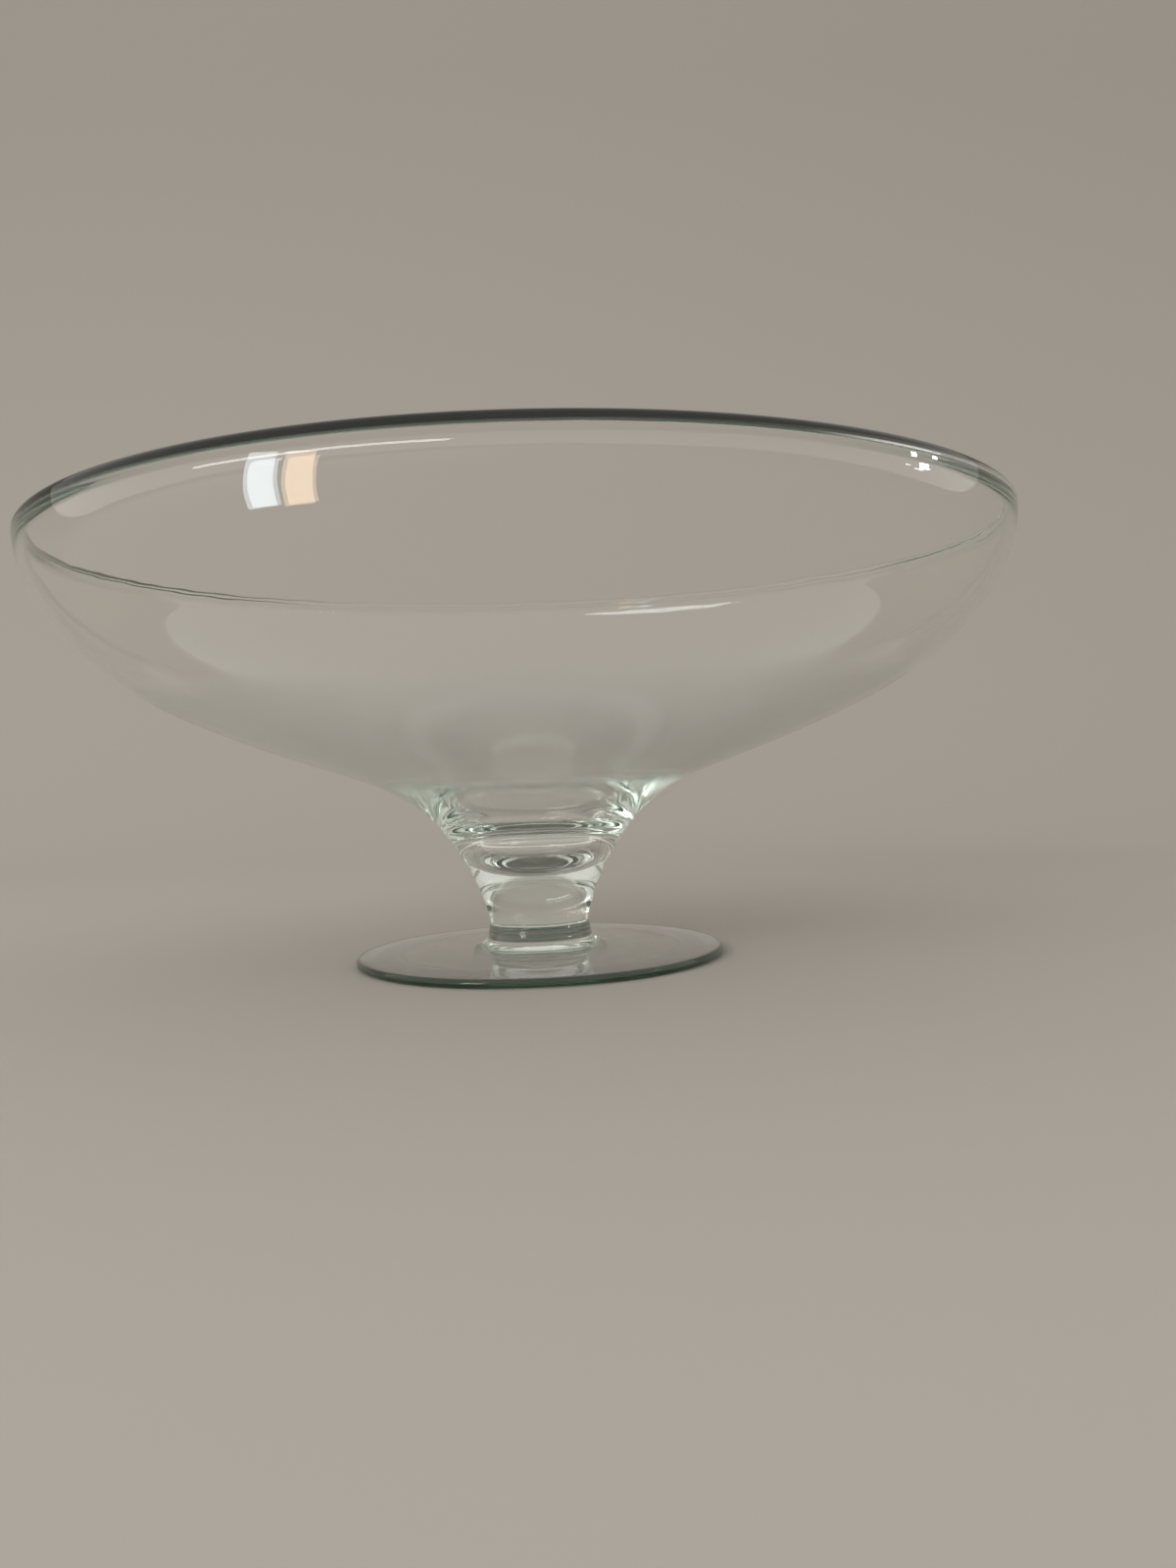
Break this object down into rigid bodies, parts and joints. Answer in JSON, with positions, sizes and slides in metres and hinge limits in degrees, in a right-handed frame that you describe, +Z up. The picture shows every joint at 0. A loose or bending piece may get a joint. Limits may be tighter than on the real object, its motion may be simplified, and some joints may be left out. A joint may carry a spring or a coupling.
{
  "type": "footed fruit bowl",
  "caption": "Clear glass fruit bowl with a wide shallow shell that funnels into a short solid stem on a flat round foot.",
  "frame": {"origin": "on the axis of the bowl, at the surface the foot stands on", "axes": "+Z up along the axis of the bowl; X and Y are alike, because the bowl is round"},
  "size_m": [0.28, 0.28, 0.123],
  "materials": {
    "clear_glass": "fire-polished clear glass with a faint green cast"
  },
  "bodies": {
    "root": {"bowl": "clear_glass", "stem": "clear_glass", "foot": "clear_glass"}
  },
  "joints": []
}
